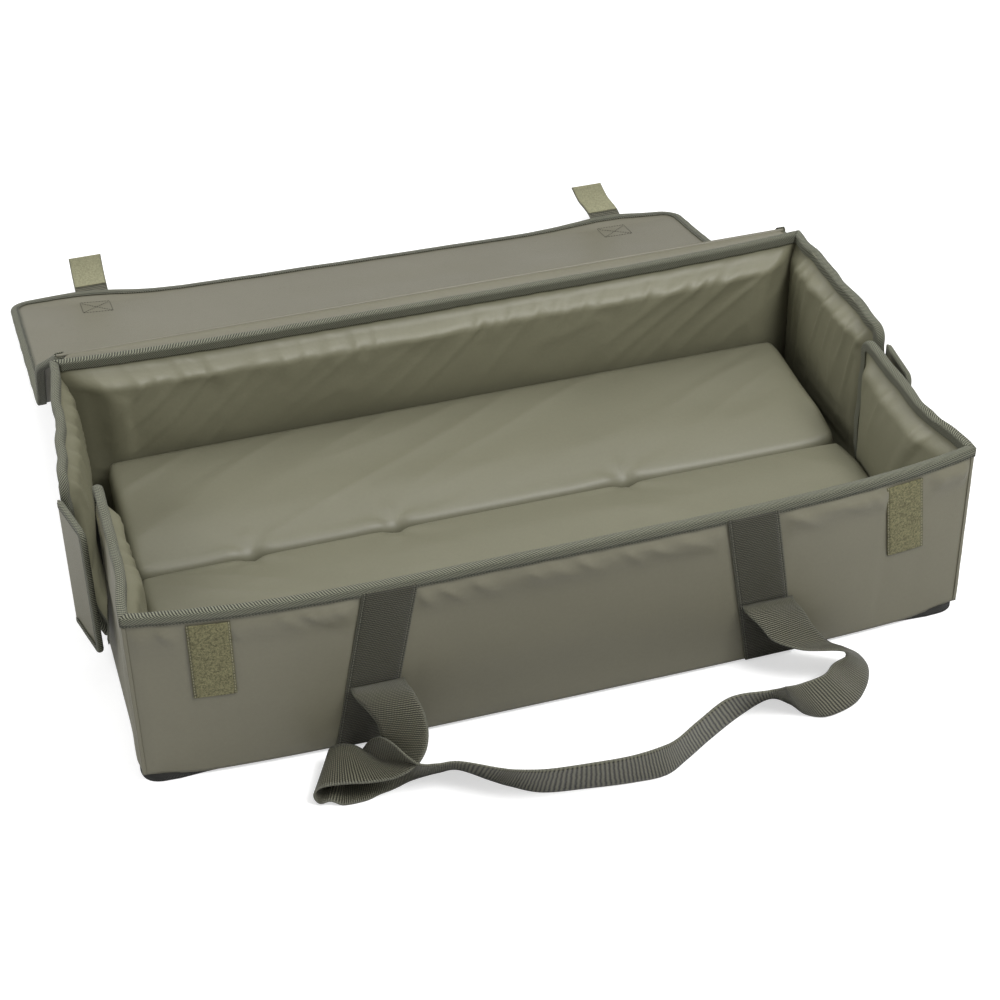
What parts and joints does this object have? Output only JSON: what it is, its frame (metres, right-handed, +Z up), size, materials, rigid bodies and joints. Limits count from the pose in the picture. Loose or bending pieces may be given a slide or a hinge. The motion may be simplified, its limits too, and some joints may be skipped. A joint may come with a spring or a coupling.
{
  "type": "unhooking mat",
  "caption": "Walled fishing unhooking mat: padded tray split to fold in half, with carry handles and a bound cover hinged behind that closes with tabs.",
  "frame": {"origin": "on the floor under the middle of the tray's base, on its fold line", "axes": "+Z up, +X along the tray towards its right end as seen from the front, +Y from the front wall to the rear wall and the cover"},
  "size_m": [0.8411, 1.0058, 0.2012],
  "materials": {
    "coated_nylon_olive": "satin",
    "coated_lining_olive": "satin",
    "binding_tape_grey_green": "matte",
    "webbing_dark_green": "matte",
    "loop_tape_tan_green": "matte",
    "base_cloth_black": "matte"
  },
  "bodies": {
    "rear_half": {"base_sheet_rear": "base_cloth_black", "base_tape_rear": "base_cloth_black", "pad_rear": "coated_lining_olive", "fold_tape": "binding_tape_grey_green", "wall_cover_rear": "coated_nylon_olive", "wall_lining_rear": "coated_lining_olive", "rim_tape_rear": "binding_tape_grey_green", "end_cover_rear_left": "coated_nylon_olive", "end_lining_rear_left": "coated_lining_olive", "end_tape_rear_left": "binding_tape_grey_green", "corner_tape_rear_left": "binding_tape_grey_green", "webbing_rear_left": "webbing_dark_green", "end_cover_rear_right": "coated_nylon_olive", "end_lining_rear_right": "coated_lining_olive", "end_tape_rear_right": "binding_tape_grey_green", "corner_tape_rear_right": "binding_tape_grey_green", "webbing_rear_right": "webbing_dark_green", "lid_hinge_tape": "binding_tape_grey_green"},
    "front_half": {"base_sheet_front": "base_cloth_black", "base_tape_front": "base_cloth_black", "pad_front": "coated_lining_olive", "wall_cover_front": "coated_nylon_olive", "wall_lining_front": "coated_lining_olive", "rim_tape_front": "binding_tape_grey_green", "end_cover_front_left": "coated_nylon_olive", "end_lining_front_left": "coated_lining_olive", "end_tape_front_left": "binding_tape_grey_green", "corner_tape_front_left": "binding_tape_grey_green", "webbing_front_left": "webbing_dark_green", "loop_patch_left": "loop_tape_tan_green", "closure_loop_left": "loop_tape_tan_green", "end_cover_front_right": "coated_nylon_olive", "end_lining_front_right": "coated_lining_olive", "end_tape_front_right": "binding_tape_grey_green", "corner_tape_front_right": "binding_tape_grey_green", "webbing_front_right": "webbing_dark_green", "loop_patch_right": "loop_tape_tan_green", "closure_loop_right": "loop_tape_tan_green"},
    "lid_near": {"lid_root_panel": "coated_nylon_olive", "lid_root_tape_left": "binding_tape_grey_green", "lid_root_tape_right": "binding_tape_grey_green"},
    "lid_far": {"lid_panel": "coated_nylon_olive", "lid_tape": "binding_tape_grey_green"},
    "left_tab": {"tab_left": "webbing_dark_green", "tab_hook_left": "loop_tape_tan_green"},
    "right_tab": {"tab_right": "webbing_dark_green", "tab_hook_right": "loop_tape_tan_green"},
    "left_closure": {"closure_flap_left": "coated_nylon_olive", "closure_tape_left": "binding_tape_grey_green", "closure_hook_left": "loop_tape_tan_green"},
    "right_closure": {"closure_flap_right": "coated_nylon_olive", "closure_tape_right": "binding_tape_grey_green", "closure_hook_right": "loop_tape_tan_green"},
    "front_handle": {"handle_front": "webbing_dark_green"},
    "rear_handle": {"handle_rear": "webbing_dark_green"}
  },
  "joints": [
    {"name": "base_fold", "type": "hinge", "parent": "rear_half", "child": "front_half", "pos_m": [0, 0, 0.072], "axis": [1, 0, 0], "range_deg": [-88, 0]},
    {"name": "lid_hinge", "type": "hinge", "parent": "rear_half", "child": "lid_near", "pos_m": [0, 0.219, 0.1993], "axis": [1, 0, 0], "range_deg": [0, 228.2]},
    {"name": "lid_fold", "type": "hinge", "parent": "lid_near", "child": "lid_far", "pos_m": [0, 0.3435, 0.06], "axis": [1, 0, 0], "range_deg": [-36.6, 0]},
    {"name": "tab_left_hinge", "type": "hinge", "parent": "lid_far", "child": "left_tab", "pos_m": [-0.317, 0.61287, 0.00379], "axis": [1, 0, 0], "range_deg": [-20, 53]},
    {"name": "tab_right_hinge", "type": "hinge", "parent": "lid_far", "child": "right_tab", "pos_m": [0.317, 0.61287, 0.00379], "axis": [1, 0, 0], "range_deg": [-20, 53]},
    {"name": "closure_left_hinge", "type": "hinge", "parent": "rear_half", "child": "left_closure", "pos_m": [-0.42484, 0.0024, 0.103], "axis": [0, 0, 1], "range_deg": [-150, 12]},
    {"name": "closure_right_hinge", "type": "hinge", "parent": "rear_half", "child": "right_closure", "pos_m": [0.41095, 0.0024, 0.103], "axis": [0, 0, -1], "range_deg": [-150, 9]},
    {"name": "handle_front_hinge", "type": "hinge", "parent": "front_half", "child": "front_handle", "pos_m": [0, -0.23142, 0.067], "axis": [-1, 0, 0], "range_deg": [0, 80]},
    {"name": "handle_rear_hinge", "type": "hinge", "parent": "rear_half", "child": "rear_handle", "pos_m": [0, 0.21362, 0.067], "axis": [1, 0, 0], "range_deg": [0, 80]}
  ],
  "couplings": [
    {"joint": "lid_fold", "follows": "lid_hinge", "ratio": -0.1596}
  ]
}
